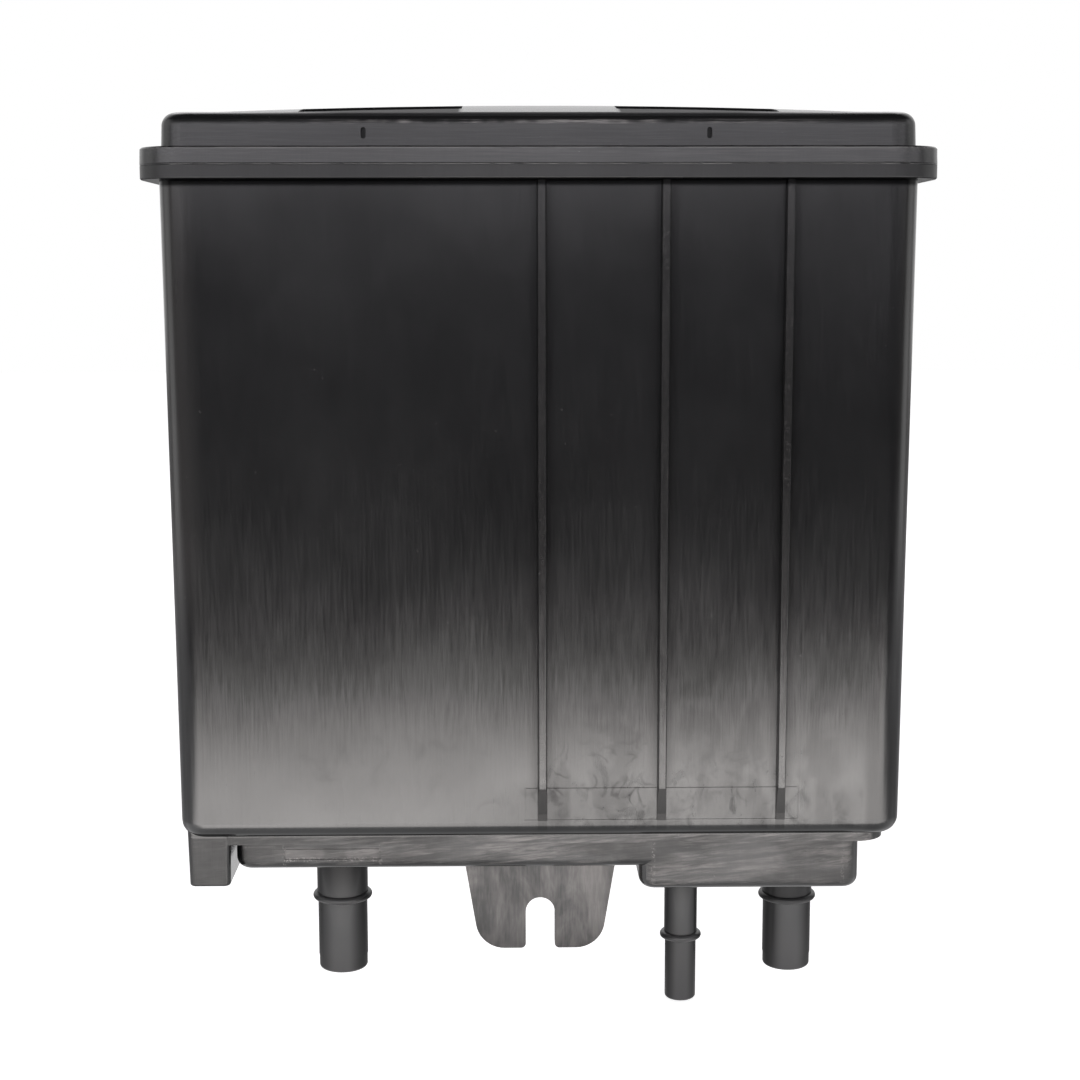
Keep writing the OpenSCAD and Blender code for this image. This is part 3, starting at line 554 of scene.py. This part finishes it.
def weld_flash():
    """The bead of melted plastic that the weld presses out along the seam of the flange."""
    mesh = bmesh.new()
    rings = []
    for point, out in rounded_outline(*FLANGE_HALF, FLANGE_R, FLASH_STEP):
        lump = noise.noise(point * 220.0) + 0.6 * noise.noise(point * 700.0)
        radius = max(FLASH_R_LEAST, FLASH_R + FLASH_LUMPS * lump)
        centre = point + out * (-FLASH_IN + FLASH_SWAY * lump) + Vector((0.0, MID_Y, WELD_Z))
        ring = []
        for k in range(FLASH_SIDES):
            a = 2 * math.pi * k / FLASH_SIDES
            rise = Vector((0.0, 0.0, FLASH_TALL * radius * math.sin(a)))
            ring.append(mesh.verts.new(centre + out * (radius * math.cos(a)) + rise))
        rings.append(ring)
    for i, ring in enumerate(rings):
        after = rings[(i + 1) % len(rings)]
        for k in range(FLASH_SIDES):
            n = (k + 1) % FLASH_SIDES
            mesh.faces.new((ring[k], after[k], after[n], ring[n])).smooth = True
    bmesh.ops.recalc_face_normals(mesh, faces=mesh.faces)
    data = bpy.data.meshes.new("weld_flash")
    mesh.to_mesh(data)
    mesh.free()
    piece = bpy.data.objects.new("weld_flash", data)
    scene.collection.objects.link(piece)
    data.materials.append(looks["cover_plastic"])
    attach(piece, "root")


weld_flash()


def lamp(name, centre, aim, size, radiance, colour):
    """A soft box of a given radiance, turned to a point."""
    data = bpy.data.lights.new(name, "AREA")
    data.shape = "RECTANGLE"
    data.size, data.size_y = size
    data.energy = radiance * math.pi * size[0] * size[1]
    data.color = colour
    thing = bpy.data.objects.new(name, data)
    thing.location = centre
    thing.rotation_euler = (Vector(aim) - Vector(centre)).to_track_quat("-Z", "Y").to_euler()
    thing.visible_camera = False
    scene.collection.objects.link(thing)


# Bright parts of the table, which the front wall mirrors
for name, x, y, size, radiance in (
        ("table_far", 0.12, -0.350, (0.46, 0.15), 7.1),
        ("table_left", -0.215, -0.350, (0.21, 0.15), 4.6),
        ("table_near", 0.0, -0.190, (0.64, 0.16), 4.3)):
    lamp(name, (x, y, TABLE_LAMP_Z), (x, y, 1.0), size, radiance, WARM)

# Soft boxes round the object
lamp("front_strip", (-0.1, -1.6, 0.52), (-0.05, 0.0, 0.20), (2.4, 0.30), 3.7, BLUISH)
lamp("left_strip", (-1.35, -0.95, 0.50), (0.0, 0.0, 0.20), (1.0, 0.34), 3.0, COOL)
lamp("right_strip", (1.35, -0.95, 0.50), (0.0, 0.0, 0.20), (1.0, 0.34), 2.2, COOL)
lamp("back_top", (0.0, 1.1, 1.3), (0.0, 0.03, 0.1), (1.4, 0.9), 1.7, PINKISH)
lamp("left_box", (-1.1, 0.1, 0.35), (0.0, 0.0, 0.1), (0.5, 0.9), 0.8, WHITE)
lamp("right_box", (1.1, 0.1, 0.35), (0.0, 0.0, 0.1), (0.5, 0.9), 0.8, WHITE)


def seen_white(g):
    """1 for the rays that show the white background, and 1 for those of the camera."""
    path = g.add("ShaderNodeLightPath").outputs
    camera_ray = path["Is Camera Ray"]
    return g.most(camera_ray, path["Is Glossy Ray"], path["Is Transmission Ray"]), camera_ray


def studio_world():
    """A white room behind and beside the object, with the dark of the studio behind the camera."""
    world = bpy.data.worlds.new("studio")
    scene.world = world
    g = Nodes(world)
    seen, camera_ray = seen_white(g)
    way = g.split(g.coordinates("Generated"))
    dark = g.product(g.fade(way["Y"], 0.75, 0.25), g.less(1.0, camera_ray))
    lit = g.scaled(seen, 1.0 - ROOM_LIGHT, ROOM_LIGHT)
    background = g.add("ShaderNodeBackground")
    background.inputs["Color"].default_value = (*WHITE, 1.0)
    g.put(background.inputs["Strength"], g.product(lit, g.less(1.0, g.product(dark, STUDIO_DARK))))
    g.put(g.add("ShaderNodeOutputWorld").inputs["Surface"], background.outputs["Background"])


studio_world()


def pale_floor():
    """A white table that ends a little in front of the object, with painted shadow in its reflections under
    and behind the object and towards the sides, and a painted patch of light behind the post.
    """
    data = bpy.data.meshes.new("floor")
    side, near, far = 3.0, -0.36, 4.0
    corners = [(-side, near, FLOOR_Z), (side, near, FLOOR_Z), (side, far, FLOOR_Z), (-side, far, FLOOR_Z)]
    data.from_pydata(corners, [], [(0, 1, 2, 3)])
    floor = bpy.data.objects.new("floor", data)
    scene.collection.objects.link(floor)
    g = Nodes(bpy.data.materials.new("floor_white"))
    seen, camera_ray = seen_white(g)
    at = g.split(g.coordinates("Object"))
    # For reflections only: painted shadow on the table under and behind the object and towards the sides, and
    # a painted patch of light behind the post.
    lit = g.product(g.fade(g.size(at["X"]), 0.22, 0.42, 1.0, 0.2), g.fade(at["Y"], 0.03, 0.07, 1.0, 0.12))
    painted_light_behind_post = g.product(g.window(at["X"], -0.085, -0.040, 0.010), g.window(at["Y"], 0.13, 0.40, 0.03))
    lit = g.most(lit, painted_light_behind_post, camera_ray)
    diffuse = g.add("ShaderNodeBsdfDiffuse")
    diffuse.inputs["Color"].default_value = (0.85, 0.85, 0.85, 1.0)
    glow = g.add("ShaderNodeEmission")
    g.put(glow.inputs["Strength"], g.product(seen, lit, g.fade(at["Y"], 0.4, 1.2, 0.85, 1.0)))
    together = g.add("ShaderNodeAddShader")
    g.put(together.inputs[0], diffuse.outputs[0])
    g.put(together.inputs[1], glow.outputs[0])
    g.put(g.add("ShaderNodeOutputMaterial").inputs["Surface"], together.outputs[0])
    data.materials.append(g.owner)


pale_floor()

scene.view_settings.view_transform = "Standard"

view = bpy.data.cameras.new("photo_camera")
view.sensor_fit = "HORIZONTAL"
view.sensor_width = SENSOR_MM
view.lens = SENSOR_MM * FOCAL_PIXELS / PHOTO_PIXELS
view.clip_start = 0.01
view.clip_end = 50.0
camera = bpy.data.objects.new("photo_camera", view)
camera.location = (CAMERA_X - CAMERA_AWAY * math.sin(CAMERA_SWING), -CAMERA_AWAY * math.cos(CAMERA_SWING),
                   BODY_FLOOR_Z + CAMERA_UP)
camera.rotation_euler = (CAMERA_TILT, CAMERA_ROLL, -CAMERA_SWING)
scene.collection.objects.link(camera)
scene.camera = camera
